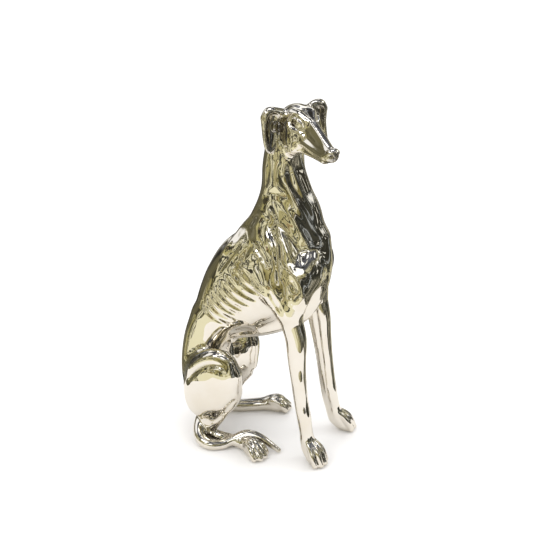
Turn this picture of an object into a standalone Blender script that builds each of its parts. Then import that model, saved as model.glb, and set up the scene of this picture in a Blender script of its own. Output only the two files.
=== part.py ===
"""Seated greyhound statue, one casting.

The figure is modelled as a block of clay: a grid of signed distances into which rounded
limbs, ellipsoids, grooves and ridges are worked with soft blends. The surface is then
drawn from the grid, thinned to flat facets and cut level at the soles.

Figure measurements are in clay millimetres, where the finished statue is 765 high;
HEIGHT sets its true height in metres. It faces +X and +Z is up; side -1 is its right.
"""
import math

import bmesh
import bpy
import numpy as np

HEIGHT = 0.78
CLAY_HEIGHT = 765.0
MM = HEIGHT / CLAY_HEIGHT
FLOOR = 3.0
GRID_STEP = 3.0
FACETS = 9300
FAR = 1000.0


def curve_through(rows, per_span):
    """Catmull-Rom curve through rows, per_span steps to a span.

    b + t/2 (c - a) + t^2/2 (2a - 5b + 4c - d) + t^3/2 (3b - 3c + d - a) between b and c.
    """
    rows = np.asarray(rows, float)
    if len(rows) == 2:
        t = np.linspace(0, 1, per_span + 1)[:, None]
        return rows[0] * (1 - t) + rows[1] * t
    p = np.vstack([2 * rows[0] - rows[1], rows, 2 * rows[-1] - rows[-2]])
    t = np.linspace(0, 1, per_span, endpoint=False)[:, None]
    spans = []
    for a, b, c, d in zip(p[:-3], p[1:-2], p[2:-1], p[3:]):
        cubic = c - a + t * (2 * a - 5 * b + 4 * c - d + t * (3 * (b - c) + d - a))
        spans.append(b + 0.5 * t * cubic)
    return np.vstack(spans + [rows[-1:]])


class Clay:
    """A block of clay: signed distances on a grid, negative inside the figure."""

    def __init__(self, low, high, step):
        self.step = float(step)
        self.low = np.asarray(low, float)
        counts = np.ceil((np.asarray(high, float) - self.low) / step).astype(int) + 1
        self.axes = [(self.low[k] + step * np.arange(counts[k])).astype(np.float32) for k in range(3)]
        self.d = np.full(counts, FAR, np.float32)

    def window(self, low, high, within=None):
        cut = [slice(int(np.searchsorted(self.axes[k], low[k])), int(np.searchsorted(self.axes[k], high[k])))
               for k in range(3)]
        if within is not None:
            cut = [slice(max(a.start, b.start), max(min(a.stop, b.stop), max(a.start, b.start)))
                   for a, b in zip(cut, within)]
        return tuple(cut)

    def grid(self, cut):
        x, y, z = (self.axes[k][cut[k]] for k in range(3))
        return x[:, None, None], y[None, :, None], z[None, None, :]

    def merge(self, cut, d, blend, carve):
        """Adds or carves: min(a, b) - h^2 / (4 blend), where h = max(blend - |a - b|, 0)."""
        old = self.d[cut]
        other = -d if carve else d
        h = np.maximum(blend - np.abs(old - other), 0)
        round_off = h * h / (4 * blend)
        self.d[cut] = np.maximum(old, other) + round_off if carve else np.minimum(old, other) - round_off

    def limb(self, rows, blend, side=(0, 1, 0), per_span=6, carve=False):
        """An ellipse swept along a curve; rows hold x, y, z, half-width along side and half-depth across it.

        d = |w| (1 - 1/q), where q is the length of w measured in radii.
        """
        fine = curve_through([tuple(r) if len(r) == 5 else tuple(r) + (r[3],) for r in rows], per_span)
        path, radii = fine[:, :3], np.maximum(fine[:, 3:], 0.1)
        margin = blend + 4 * self.step
        reach = radii.max() + margin
        whole = self.window(path.min(0) - reach, path.max(0) + reach)
        total = np.full([s.stop - s.start for s in whole], FAR, np.float32)
        for i in range(len(path) - 1):
            a, b = path[i], path[i + 1]
            r = radii[i:i + 2].max() + margin
            cut = self.window(np.minimum(a, b) - r, np.maximum(a, b) + r, whole)
            length = float(np.linalg.norm(b - a))
            if length < 1e-6 or any(s.stop <= s.start for s in cut):
                continue
            x, y, z = self.grid(cut)
            w = (x - a[0], y - a[1], z - a[2])
            t = (b - a) / length
            u = np.asarray(side, float) - t * np.dot(side, t)
            u = u / np.linalg.norm(u)
            v = np.cross(t, u)
            along, du, dv = (w[0] * e[0] + w[1] * e[1] + w[2] * e[2] for e in (t, u, v))
            share = np.clip(along / length, 0, 1).astype(np.float32)
            over = along - share * length
            ru = radii[i, 0] + (radii[i + 1, 0] - radii[i, 0]) * share
            rv = radii[i, 1] + (radii[i + 1, 1] - radii[i, 1]) * share
            size = np.sqrt(du * du + dv * dv + over * over) + 1e-6
            q = np.sqrt((du / ru) ** 2 + (dv / rv) ** 2 + (over / np.minimum(ru, rv)) ** 2) + 1e-6
            here = tuple(slice(s.start - o.start, s.stop - o.start) for s, o in zip(cut, whole))
            total[here] = np.minimum(total[here], size * (1 - 1 / q))
        self.merge(whole, total, blend, carve)

    def lump(self, centre, radii, blend, axes=None, carve=False):
        """An ellipsoid with its radii along the rows of axes; d = |w| (1 - 1/q)."""
        axes = np.eye(3) if axes is None else axes
        reach = max(radii) + blend + 4 * self.step
        centre = np.asarray(centre, float)
        cut = self.window(centre - reach, centre + reach)
        x, y, z = self.grid(cut)
        w = (x - centre[0], y - centre[1], z - centre[2])
        q = sum(((w[0] * e[0] + w[1] * e[1] + w[2] * e[2]) / r) ** 2 for e, r in zip(axes, radii))
        q = np.sqrt(q) + 1e-6
        size = np.sqrt(w[0] ** 2 + w[1] ** 2 + w[2] ** 2)
        self.merge(cut, (size * (1 - 1 / q)).astype(np.float32), blend, carve)

    def stroke(self, points, width, depth, per_span=8, fade=0.3):
        """Sinks the surface along a line, or lifts it for a negative depth, by depth f exp(-(r / width)^2).

        f rises smoothly from 0 to 1 over the share fade of the line at each end.
        """
        path = curve_through(points, per_span)
        reach = 2.6 * width
        whole = self.window(path.min(0) - reach, path.max(0) + reach)
        total = np.zeros([s.stop - s.start for s in whole], np.float32)
        so_far = np.concatenate([[0], np.cumsum(np.linalg.norm(np.diff(path, axis=0), axis=1))])
        for i in range(len(path) - 1):
            a, b = path[i], path[i + 1]
            cut = self.window(np.minimum(a, b) - reach, np.maximum(a, b) + reach, whole)
            if any(s.stop <= s.start for s in cut):
                continue
            x, y, z = self.grid(cut)
            w = (x - a[0], y - a[1], z - a[2])
            e = b - a
            share = np.clip((w[0] * e[0] + w[1] * e[1] + w[2] * e[2]) / max(e @ e, 1e-9), 0, 1)
            r2 = sum((w[k] - share * e[k]) ** 2 for k in range(3))
            along = (so_far[i] + share * (so_far[i + 1] - so_far[i])) / so_far[-1]
            f = np.clip(np.minimum(along, 1 - along) / fade, 0, 1)
            here = tuple(slice(s.start - o.start, s.stop - o.start) for s, o in zip(cut, whole))
            total[here] = np.maximum(total[here], f * f * (3 - 2 * f) * np.exp(-r2 / width ** 2))
        self.d[whole] += depth * total

    def touch_side(self, x, z, side):
        """How far out the surface is at (x, z), met from the left for side 1 or the right for side -1."""
        at = [(x - self.low[0]) / self.step, (z - self.low[2]) / self.step]
        base = [int(min(max(math.floor(v), 0), n - 2)) for v, n in zip(at, (self.d.shape[0], self.d.shape[2]))]
        part = [v - b for v, b in zip(at, base)]
        line = 0
        for i, j in ((0, 0), (0, 1), (1, 0), (1, 1)):
            share = (part[0] if i else 1 - part[0]) * (part[1] if j else 1 - part[1])
            line = line + share * self.d[base[0] + i, :, base[1] + j]
        inside = np.nonzero(line < 0)[0]
        if len(inside) == 0:
            return self.low[1] + self.step * int(np.argmin(line))
        k = int(inside[-1] if side > 0 else inside[0])
        n = k + side
        return self.low[1] + self.step * (k + side * line[k] / (line[k] - line[n]))

    def smooth(self, times):
        """Softens the field with weights 1, 2, 1 along each axis."""
        for _ in range(times):
            for axis in range(3):
                d = np.moveaxis(self.d, axis, 0)
                d[1:-1] = (d[:-2] + 2 * d[1:-1] + d[2:]) / 4

    def fuse(self):
        """Fills the nearest outside corner of each cell where two skins would meet in one point, until none is left.

        Those are the cells whose inside corners, or whose outside corners, are not all joined along edges.
        """
        def joined(corners):
            reached = set(list(corners)[:1])
            for _ in corners:
                reached |= {c for c in corners for e in (1, 2, 4) if c ^ e in reached}
            return len(reached) == len(corners)

        split = [not (joined({c for c in range(8) if code >> c & 1}) and joined({c for c in range(8) if not code >> c & 1}))
                 for code in range(256)]
        offsets = np.array([(c & 1, c >> 1 & 1, c >> 2 & 1) for c in range(8)])
        size = np.array(self.d.shape) - 1
        for _ in range(80):
            inside = self.d < 0
            code = sum(inside[x:x + size[0], y:y + size[1], z:z + size[2]].astype(np.int16) << n
                       for n, (x, y, z) in enumerate(offsets))
            cells = np.argwhere(np.array(split)[code])
            if len(cells) == 0:
                break
            corners = cells[:, None, :] + offsets
            values = self.d[tuple(np.moveaxis(corners, 2, 0))]
            nearest = np.where(values < 0, FAR, values).argmin(axis=1)
            self.d[tuple(corners[np.arange(len(cells)), nearest].T)] = -0.05 * self.step

    def skin(self):
        """Surface nets: a point in every cell the surface passes, at the mean of its edge crossings.

        Each crossed grid edge gives one four-sided face, wound to look outward.
        """
        shape = np.array(self.d.shape)
        stride = np.array([shape[1] * shape[2], shape[2], 1])
        flat = self.d.ravel()
        inside = self.d < 0
        faces, points = [], []
        for a in range(3):
            b, c = (a + 1) % 3, (a + 2) % 3
            here = [slice(1, n - 1) for n in shape]
            there = list(here)
            there[a] = slice(2, shape[a])
            cross = np.argwhere(inside[tuple(here)] != inside[tuple(there)]) + 1
            at = cross @ stride
            p = cross.astype(float)
            p[:, a] += flat[at] / (flat[at] - flat[at + stride[a]])
            ring = np.stack([at, at - stride[b], at - stride[b] - stride[c], at - stride[c]], 1)
            outward = flat[at] < 0
            ring[~outward] = ring[~outward][:, ::-1]
            faces.append(ring)
            points.append(np.repeat(p, 4, axis=0))
        cells, index = np.unique(np.concatenate(faces).ravel(), return_inverse=True)
        points = np.concatenate(points)
        count = np.bincount(index)
        verts = np.stack([np.bincount(index, points[:, k]) / count for k in range(3)], 1)
        return self.low + verts * self.step, index.reshape(-1, 4)


class Place:
    """A local frame for head or foot: forward, left and up, turned by yaw, tilted down by pitch, then rolled."""

    def __init__(self, origin, yaw=0.0, pitch=0.0, roll=0.0, size=1.0):
        cy, sy = math.cos(math.radians(yaw)), math.sin(math.radians(yaw))
        cp, sp = math.cos(math.radians(pitch)), math.sin(math.radians(pitch))
        cr, sr = math.cos(math.radians(roll)), math.sin(math.radians(roll))
        forward = np.array([cy * cp, sy * cp, -sp])
        level = np.array([-sy, cy, 0.0])
        over = np.cross(forward, level)
        self.axes = np.stack([forward, level * cr + over * sr, over * cr - level * sr])
        self.origin = np.asarray(origin, float)
        self.size = size

    def point(self, p):
        return self.origin + np.asarray(p, float) @ self.axes * self.size

    def rows(self, rows):
        return [tuple(self.point(r[:3])) + tuple(v * self.size for v in r[3:]) for r in rows]


# The two sides of the figure: where each leg stands and the rows of its long bones.
SIDES = {
    -1: {
        "elbow": (78, -56, 336),
        "fore": [(90, -56, 290, 14, 23), (93, -56, 240, 12.5, 19.5), (98, -56, 188, 12, 16.5),
                 (104, -56, 142, 12, 15.5), (110, -56, 108, 14, 15.5), (114, -57, 84, 13.5, 14.5),
                 (119, -58, 58, 13.5, 14), (124, -59, 36, 14, 14)],
        "paw": (132, -63, 0), "paw_yaw": -22, "back": 0,
        "hock": (-108, -62, 30),
        "hind": [(-114, -61, 20, 12, 15), (-84, -62, 15, 12, 13), (-50, -66, 16, 12, 12.5),
                 (-20, -73, 18, 13, 13)],
        "toes": (4, -84, 0), "toes_yaw": -24, "ear": 80, "fold": 20, "spread": 56, "flare": -2,
    },
    1: {
        "elbow": (96, 58, 336),
        "fore": [(104, 60, 285, 14.5, 25), (111, 61, 235, 13, 21), (118, 62, 184, 12.5, 18.5),
                 (124, 63, 138, 12.5, 18), (129, 64, 108, 14.5, 18), (133, 65, 84, 14, 17.5),
                 (139, 68, 58, 14, 16.5), (146, 71, 36, 15, 16)],
        "paw": (154, 74, 0), "paw_yaw": 27, "back": 14,
        "hock": (-118, 56, 30),
        "hind": [(-122, 54, 20, 12, 16), (-88, 66, 15, 14, 15), (-56, 80, 15.5, 14, 15),
                 (-30, 90, 18, 14.5, 15)],
        "toes": (-8, 98, 0), "toes_yaw": 22, "ear": 90, "fold": 24, "spread": 45, "flare": 22,
    },
}

# Muscle and rib lines on both flanks: width, depth (negative for a ridge) and (x, z) points.
FLANK_LINES = [
    # long muscles of the neck and the step at its foot
    (7.0, 3.0, [(54, 680), (60, 650), (68, 614), (84, 585), (102, 556), (116, 520)]),
    (7.0, 2.6, [(70, 662), (82, 630), (96, 596), (110, 562)]),
    (12.0, -3.0, [(34, 652), (36, 622), (42, 594)]),
    (8.0, 2.2, [(2, 562), (22, 582), (44, 586), (66, 574)]),
    (8.5, -4.0, [(50, 566), (69, 548), (87, 523), (104, 494), (112, 474)]),
    # shoulder blade and upper arm
    (5.5, 4.6, [(20, 566), (30, 548), (38, 531), (31, 514), (46, 492), (53, 460), (57, 435), (59, 408)]),
    (6.0, 3.6, [(40, 538), (60, 518), (86, 484), (104, 454)]),
    (9.0, -2.6, [(46, 516), (64, 492), (82, 462)]),
    (7.0, -3.4, [(66, 461), (84, 445), (101, 424), (110, 398), (108, 372)]),
    (7.0, 3.0, [(84, 425), (94, 408)]),
    (5.0, 3.4, [(-9, 485), (8, 474), (24, 458), (36, 438)]),
    (5.0, 3.8, [(-10, 484), (-24, 452), (-35, 422), (-31, 388), (-16, 364)]),
    (9.0, -3.5, [(-10, 456), (4, 466)]),
    (5.0, 3.0, [(39, 405), (47, 380), (60, 360), (70, 348)]),
    # back and loin
    (6.0, -2.6, [(-94, 412), (-68, 460), (-43, 500), (-12, 536)]),
    (5.0, 2.4, [(-90, 392), (-66, 430), (-44, 462), (-28, 492)]),
    # hollow of the flank and the edge of the belly
    (14.0, 10.0, [(-16, 268), (-38, 263), (-60, 252)]),
    # haunch: its ridge, the crease under the ridge and the fold over the shank
    (7.0, -5.2, [(-154, 168), (-132, 194), (-106, 218), (-82, 231), (-58, 231), (-42, 220), (-32, 198)]),
    (5.5, 5.5, [(-148, 146), (-132, 174), (-108, 200), (-84, 213), (-60, 214), (-45, 200)]),
    (5.5, 5.0, [(-30, 138), (-46, 116), (-68, 86), (-92, 48)]),
]

RIBS = 8
LAST_RIB, RIB_PITCH = (-128, 330), (12, 16.5)


def rib_line(n):
    """The groove behind rib n: it runs down and forward across the trunk, sagging by 7 at its middle."""
    x, z = LAST_RIB[0] + n * RIB_PITCH[0], LAST_RIB[1] + n * RIB_PITCH[1]
    length = 84 + 3 * n
    return [(x + length * (0.85 * t - 0.06 * math.sin(math.pi * t)),
             z - length * (0.53 * t + 0.09 * math.sin(math.pi * t))) for t in (0, 0.25, 0.5, 0.75, 1)]


def model_trunk(clay):
    """Body and neck: ellipses from the rump up to the skull, with the keel and the rump muscles."""
    clay.limb([
        (-112, 0, 52, 34, 30), (-124, 0, 100, 46, 42), (-130, 0, 158, 47, 44), (-124, 0, 214, 42, 46),
        (-109, 0, 258, 40, 54), (-82, 0, 302, 47, 72), (-49, 0, 344, 55, 90), (-9, 0, 390, 60, 101),
        (31, 0, 436, 58, 90), (55, 0, 484, 50, 71), (58, 0, 532, 41, 65), (50, 0, 582, 35, 52),
        (42, 0, 632, 31, 43), (44, 0, 690, 30, 35),
    ], 10, per_span=12)
    clay.limb([(-28, 0, 484, 14, 18), (-5, 0, 520, 15, 22), (12, 0, 554, 13, 21), (24, 0, 590, 10, 14)], 22)
    clay.limb([
        (120, 0, 492, 18, 18), (126, 0, 440, 22, 20), (113, 0, 380, 24, 22), (84, 0, 322, 24, 20),
        (44, 0, 288, 20, 14), (0, 0, 268, 18, 12), (-36, 0, 262, 16, 10), (-74, 0, 270, 14, 8),
    ], 30)
    for s in SIDES:
        clay.limb([(-128, s * 14, 280, 14, 24), (-150, s * 18, 220, 18, 24), (-153, s * 22, 150, 24, 26),
                   (-140, s * 24, 92, 26, 28)], 30)


def model_shoulder(clay, s, leg):
    """Blade, upper arm, triceps and the point of the shoulder."""
    x, y, z = leg["elbow"]
    clay.limb([(6, s * 22, 512, 11, 18), (28, s * 38, 480, 17, 30), (70, s * 50, 436, 20, 36),
               (98, s * 46, 410, 22, 26)], 20)
    clay.limb([(102, s * 50, 430, 22, 24), (94, s * 58, 390, 22, 26), (x, y, z + 10, 18, 23)], 18)
    clay.limb([(14, s * 50, 440, 12, 24), (40, s * 60, 398, 17, 32), (x - 6, y, z + 12, 17, 25)], 16)
    clay.lump((112, s * 32, 436), (26, 26, 40), 18)


def model_foot(clay, place, arch):
    """A smooth foot with four long toes ridged over it; arch is 1 for a tall fore paw and 0 for a flat hind foot."""
    left = place.axes[1]

    def rise(flat, tall):
        return flat + (tall - flat) * arch

    clay.limb(place.rows([(-15, 0, rise(20, 54), 12, 12.5), (-9, 0, rise(19, 38), 14, 16), (1, 0, rise(17, 25), 17.5, 18),
                          (13, 0, 14, 19, 14), (24, 0, 11, 16, 10)]), 9, side=left)
    for out, reach, lift in ((-13.5, 20, 0), (-4.8, 28, 3), (4.8, 28, 3), (13.5, 20, 0)):
        clay.limb(place.rows([
            (-20, out * 0.40, rise(29, 66), 3.4, 4), (-9, out * 0.68, rise(30 + lift, 53 + lift), 4.4, 5.5),
            (reach * 0.3, out * 1.02, rise(27 + lift, 41 + lift), 5.2, 6.8),
            (reach * 0.75, out * 1.28, rise(20, 28 + lift), 5.8, 7.4),
            (reach + 3, out * 1.32, 10, 5.6, 7.2),
        ]), 1.8, side=left)


def model_foreleg(clay, leg):
    x, y, z = leg["elbow"]
    clay.limb([(x - 4, y, z + 20, 18, 26), (x, y, z, 17, 25)] + leg["fore"], 12)
    model_foot(clay, Place(leg["paw"], leg["paw_yaw"]), 1.0)


def model_hindleg(clay, s, leg):
    """Thigh, the swell of the haunch, shank and the foot flat on the floor."""
    b = leg["back"]
    x, y, z = leg["hock"]
    clay.limb([(-126 - b, s * 46, 148, 36, 36), (-102 - b, s * 62, 172, 32, 50),
               (-70 - b, s * 72, 190, 27, 52), (-48 - b, s * 74, 197, 20, 40)], 18)
    clay.lump((-84 - b, s * 66, 146), (58, 33, 66), 20)
    clay.lump((-119 - b, s * 54, 110), (44, 34, 56), 18)
    clay.limb([(-52 - b, s * 70, 186, 18, 24), (-58 - b, s * 68, 140, 17, 24), (-74 - b, s * 65, 92, 14, 21),
               (x + 16, y, z + 22, 11, 15), (x, y, z, 11, 15)], 12)
    clay.limb(leg["hind"], 8)
    model_foot(clay, Place(leg["toes"], leg["toes_yaw"], size=1.04), 0.0)


def model_tail(clay):
    """The tail leaves the rump, curls round the right hock and lies over the foot."""
    clay.limb([
        (-112, 0, 64, 16), (-128, -30, 48, 15), (-127, -64, 32, 14), (-114, -88, 20, 13),
        (-90, -96, 14, 12), (-64, -86, 14, 11), (-42, -72, 24, 10), (-16, -60, 36, 9),
        (12, -56, 31, 8), (37, -57, 18, 7), (56, -59, 9, 5.5),
    ], 5, side=(0, 0, 1))
    clay.limb([(-104, -4, 72, 26), (-118, -40, 64, 18), (-112, -58, 50, 12)], 10)


def model_flanks(clay):
    for s in SIDES:
        for width, depth, points in FLANK_LINES + [(5.4, 3.2, rib_line(n)) for n in range(RIBS)]:
            clay.stroke([(x, clay.touch_side(x, z, s), z) for x, z in points], width, depth)


HEAD = Place((87, -21, 725.5), yaw=-45, pitch=10, roll=0)


def model_head(clay):
    """Long narrow head turned to the dog's right; x runs from the skull's middle to the nose."""
    left = HEAD.axes[1]

    def limb(rows, blend, **more):
        clay.limb(HEAD.rows(rows), blend, side=left, **more)

    def lump(centre, radii, blend, carve=False):
        clay.lump(HEAD.point(centre), radii, blend, HEAD.axes, carve)

    def stroke(points, width, depth, **more):
        clay.stroke([HEAD.point(p) for p in points], width, depth, **more)

    # skull, brow and muzzle, lower jaw, nose
    lump((-16, 0, 0), (48, 33, 31), 12)
    limb([(-24, 0, 0, 31, 29), (4, 0, 1.5, 23, 29), (36, 0, 0, 14.5, 26), (76, 0, -4, 12, 20.5),
          (102, 0, -6, 12, 16.5), (114, 0, -5, 13.5, 13.5)], 8, per_span=10)
    limb([(-4, 0, -14, 27, 20), (36, 0, -14, 22, 14), (76, 0, -13.5, 18, 11.5), (104, 0, -11, 15.5, 9.5)], 7)
    limb([(-16, 0, -34, 22, 15), (24, 0, -34, 16, 12), (64, 0, -29, 11.5, 8), (96, 0, -25, 9, 6)], 7)
    lump((121, 0, 2.5), (9.5, 12.5, 9.5), 4)
    for s in SIDES:
        # cheek, cheekbone and brow
        lump((-4, s * 20, -28), (31, 15, 28), 12)
        limb([(-36, s * 29, 2, 5), (-10, s * 28, 0, 5), (16, s * 22, -1, 4), (34, s * 17, -3, 3)], 8)
        limb([(-14, s * 19, 24.5, 5), (6, s * 15, 27.5, 6), (24, s * 9, 23, 4)], 10)
        # eye: its hollow, its ball and its lids
        lump((13, s * 24.5, 13.5), (16, 9.5, 11), 4, carve=True)
        lump((12.5, s * 13.5, 13), (12.5, 12, 9.5), 1.0)
        limb([(-2, s * 25.5, 11.5, 1.6), (4, s * 25.5, 19, 2.3), (14, s * 23.5, 22, 2.5), (23, s * 20, 18, 2.2),
              (30, s * 16.5, 11, 1.4)], 1.5)
        limb([(-2, s * 25.5, 10.5, 1.6), (6, s * 25.5, 4.5, 2.0), (15, s * 23, 3, 2.0), (23, s * 19.5, 5.5, 1.8),
              (30, s * 16.5, 10, 1.4)], 1.5)
        model_ear(clay, s)
        # lip line, edge of the bridge and nostril
        stroke([(28, s * 22, -39), (31, s * 22, -33), (48, s * 19, -31), (76, s * 15, -25), (104, s * 12, -20)],
               2.8, 4.5, fade=0.08)
        stroke([(10, s * 6.5, 31), (40, s * 6, 25), (78, s * 6, 16), (112, s * 6, 8)], 3.6, -2.4)
        lump((129, s * 6.5, 0.5), (6, 3.4, 3.0), 1.5, carve=True)
        stroke([(128, s * 9, 1), (122, s * 13, -1), (116, s * 13, -5)], 2.2, 2.2)
    stroke([(131, 0, -2), (128, 0, -9), (124, 0, -14)], 1.8, 2.0, fade=0.2)
    stroke([(-16, 0, 33), (10, 0, 31), (40, 0, 22)], 5, 2.0)
    clay.limb([(44, -2, 652, 26, 32), (50, -6, 680, 25, 31), tuple(HEAD.point((-26, 0, -22))) + (24, 27)], 12)


def model_ear(clay, s):
    """A soft ear: it lifts from the skull, folds over and hangs, its hollow facing forward.

    Down the hanging part by the share u, the ear is at height fold - length u, and spread + flare u^2 to the side.
    """
    forward, left, _ = HEAD.axes
    length, fold, spread, flare = (SIDES[s][name] for name in ("ear", "fold", "spread", "flare"))

    def hang(rows):
        return HEAD.rows([(x, s * (spread + out + flare * u * u), fold - length * u, a, b)
                           for x, out, u, a, b in rows])

    clay.limb(hang([(-30, 0, 0.0, 13, 9), (-29, 0, 0.16, 17.5, 12), (-28, -1, 0.39, 16.5, 11.5), (-26, -1, 0.64, 14.5, 9),
                    (-24, 0, 0.86, 10.5, 5.5), (-23, 0, 1.0, 4.5, 3)]), 3, side=left, per_span=8)
    clay.limb(HEAD.rows([(-30, s * 22, 14, 9, 8), (-30, s * (spread - 12), fold + 1, 8, 8),
                         (-30, s * (spread + 3), fold + 2, 8, 8), (-29, s * (spread + 12), fold - 8, 6, 7)]),
              6, side=forward)
    clay.limb(hang([(-19, -4, 0.10, 12, 11), (-17, -4, 0.27, 15, 14), (-16, -3, 0.46, 14.5, 13),
                    (-16, -2, 0.66, 11, 9), (-17, 0, 0.86, 5.5, 5)]), 2.0, side=left, carve=True, per_span=8)
    clay.lump(HEAD.point((-26, s * (spread - 9), -8)), (5, 4.5, 9), 6, HEAD.axes)


def model_greyhound(step):
    clay = Clay((-230, -160, -24), (230, 160, 800), step)
    model_trunk(clay)
    for s, leg in SIDES.items():
        model_shoulder(clay, s, leg)
        model_foreleg(clay, leg)
        model_hindleg(clay, s, leg)
    model_flanks(clay)
    model_tail(clay)
    model_head(clay)
    clay.smooth(1)
    clay.fuse()
    return clay


def greyhound_mesh(clay):
    """The clay's surface in metres as one triangle mesh, a little of it still below the floor."""
    points, faces = clay.skin()
    mesh = bpy.data.meshes.new("greyhound")
    mesh.from_pydata(((points - (0, 0, FLOOR)) * MM).tolist(), [], faces.tolist())
    bm = bmesh.new()
    bm.from_mesh(mesh)
    bmesh.ops.triangulate(bm, faces=bm.faces)
    bm.to_mesh(mesh)
    bm.free()
    return mesh


def thin(statue, facets):
    """Merges the flattest neighbours until about this many facets are left, and applies it."""
    modifier = statue.modifiers.new("thin", "DECIMATE")
    modifier.ratio = facets / len(statue.data.polygons)
    scene = bpy.context.evaluated_depsgraph_get()
    thinned = bpy.data.meshes.new_from_object(statue.evaluated_get(scene))
    statue.modifiers.clear()
    old = statue.data
    statue.data = thinned
    bpy.data.meshes.remove(old)


def cut_soles(bm):
    """Cuts the figure level at z = 0 and closes each sole with flat facets."""
    parts = list(bm.verts) + list(bm.edges) + list(bm.faces)
    bmesh.ops.bisect_plane(bm, geom=parts, dist=1e-6, plane_co=(0, 0, 0), plane_no=(0, 0, 1), clear_inner=True)
    for v in bm.verts:
        if v.co.z < 1e-5:
            v.co.z = 0.0
    rim = [e for e in bm.edges if e.is_boundary]
    bmesh.ops.holes_fill(bm, edges=rim, sides=0)
    bmesh.ops.triangulate(bm, faces=[f for f in bm.faces if len(f.verts) > 3])


def weld_slivers(bm):
    """Welds points closer than a tenth of a millimetre and drops facets with no area."""
    bmesh.ops.remove_doubles(bm, verts=bm.verts, dist=1e-4)
    bmesh.ops.dissolve_degenerate(bm, edges=bm.edges, dist=1e-5)
    bmesh.ops.triangulate(bm, faces=[f for f in bm.faces if len(f.verts) > 3])
    bmesh.ops.recalc_face_normals(bm, faces=bm.faces)


def plated_silver():
    material = bpy.data.materials.new("plated_silver")
    material.use_nodes = True
    shader = material.node_tree.nodes["Principled BSDF"]
    shader.inputs["Base Color"].default_value = (0.80, 0.78, 0.73, 1.0)
    shader.inputs["Metallic"].default_value = 1.0
    shader.inputs["Roughness"].default_value = 0.06
    return material


def main():
    for old in list(bpy.data.objects):
        bpy.data.objects.remove(old)
    statue = bpy.data.objects.new("greyhound", greyhound_mesh(model_greyhound(GRID_STEP)))
    family = bpy.data.collections.new("greyhound statue")
    bpy.context.scene.collection.children.link(family)
    family.objects.link(statue)
    bpy.context.view_layer.update()
    thin(statue, FACETS)

    bm = bmesh.new()
    bm.from_mesh(statue.data)
    cut_soles(bm)
    weld_slivers(bm)
    low = np.min([v.co for v in bm.verts], axis=0)
    high = np.max([v.co for v in bm.verts], axis=0)
    middle = (low + high) / 2
    bmesh.ops.translate(bm, verts=bm.verts, vec=(-middle[0], -middle[1], 0))
    bm.to_mesh(statue.data)
    bm.free()
    statue.data.shade_smooth()
    statue.data.set_sharp_from_angle(angle=math.radians(50))
    statue.data.materials.clear()
    statue.data.materials.append(plated_silver())
    print("facets", len(statue.data.polygons), "box", (high - low).round(4), "middle", middle.round(5))


main()
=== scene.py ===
"""Greyhound statue, dressed: one mirror-bright plated casting standing on its own feet.

The dog is modelled as a block of clay on a grid, by the same named shapes as the solid but on a finer grid.
Its surface is then drawn off as one smooth mesh, and a bright plating is put on it. Lengths in the clay are
millimetres on a dog 765 mm tall; the finished mesh is in metres in the frame of the solid.
"""
import math

import bmesh
import bpy
import numpy as np
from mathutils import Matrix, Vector


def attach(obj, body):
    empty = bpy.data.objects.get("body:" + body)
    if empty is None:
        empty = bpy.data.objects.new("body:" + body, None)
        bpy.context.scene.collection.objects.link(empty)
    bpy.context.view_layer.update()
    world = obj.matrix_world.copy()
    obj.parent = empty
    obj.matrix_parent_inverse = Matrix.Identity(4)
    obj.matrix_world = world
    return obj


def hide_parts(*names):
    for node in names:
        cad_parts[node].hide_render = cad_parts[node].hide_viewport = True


# The clay: its scale, the level of the soles, the distance held by empty clay, its block, the grid's step and
# the triangles left in the finished mesh.
HEIGHT = 0.78
CLAY_HEIGHT = 765.0
MM = HEIGHT / CLAY_HEIGHT
FLOOR = 3.0
FAR = 1000.0
BLOCK_LOW, BLOCK_HIGH = (-230, -160, -24), (230, 160, 800)
FINE_STEP = 1.9
FACETS = 190000

# Working the clay: spare room round a form in grid steps, a stroke's reach in widths, the most rounds of
# filling corners, a filled corner's distance in grid steps, and what is added so that nothing divides by 0.
MARGIN_STEPS = 4
STROKE_REACH = 2.6
FUSE_ROUNDS = 80
JUST_INSIDE = -0.05
TINY = 1e-6

# Settling the thinned mesh on the clay, and how far round a point its hollows are looked for.
SOLE_PLAY = 0.01
SETTLE_ROUNDS = 2
LEAST_SLOPE = 0.2
LONGEST_MOVE = 1.0
CREASE_REACH = 5.0
SHUT_IN_REACHES = (7.0, 14.0, 28.0)
NEARLY_UPRIGHT = 0.9
EAR_AND_NOSE_SHADE_REACH = 1.7

# The plating's colours.
BRIGHT_SILVER, WARM_SILVER = (0.86, 0.83, 0.78, 1), (0.83, 0.79, 0.72, 1)
# Dark colours: the tarnish of the hollows mixed with painted shade, and the painted shade of the ear hollows
# and the nose.
TARNISH_AND_SHADE, EAR_AND_NOSE_SHADE = (0.20, 0.17, 0.12, 1), (0.04, 0.04, 0.06, 1)

# The floor, and two sheets that only the plating sees: reach across and along, turn, height and colour.
FLOOR_REACH = (-40.0, 40.0)
FLOOR_TONES = (0.95, 0.935, 0.925, 1), (0.93, 0.92, 0.91, 1)
PAPER_ROUGHNESS = 0.9
SHEETS = {
    "near_sheet": ((-0.46, 0.40), (-0.50, 0.19), 20.0, 0.0004, (0.84, 0.815, 0.775, 1)),
    "cream_cloth": ((-0.95, 0.02), (-0.68, -0.20), 14.0, 0.0002, (0.70, 0.67, 0.48, 1)),
}

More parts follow.
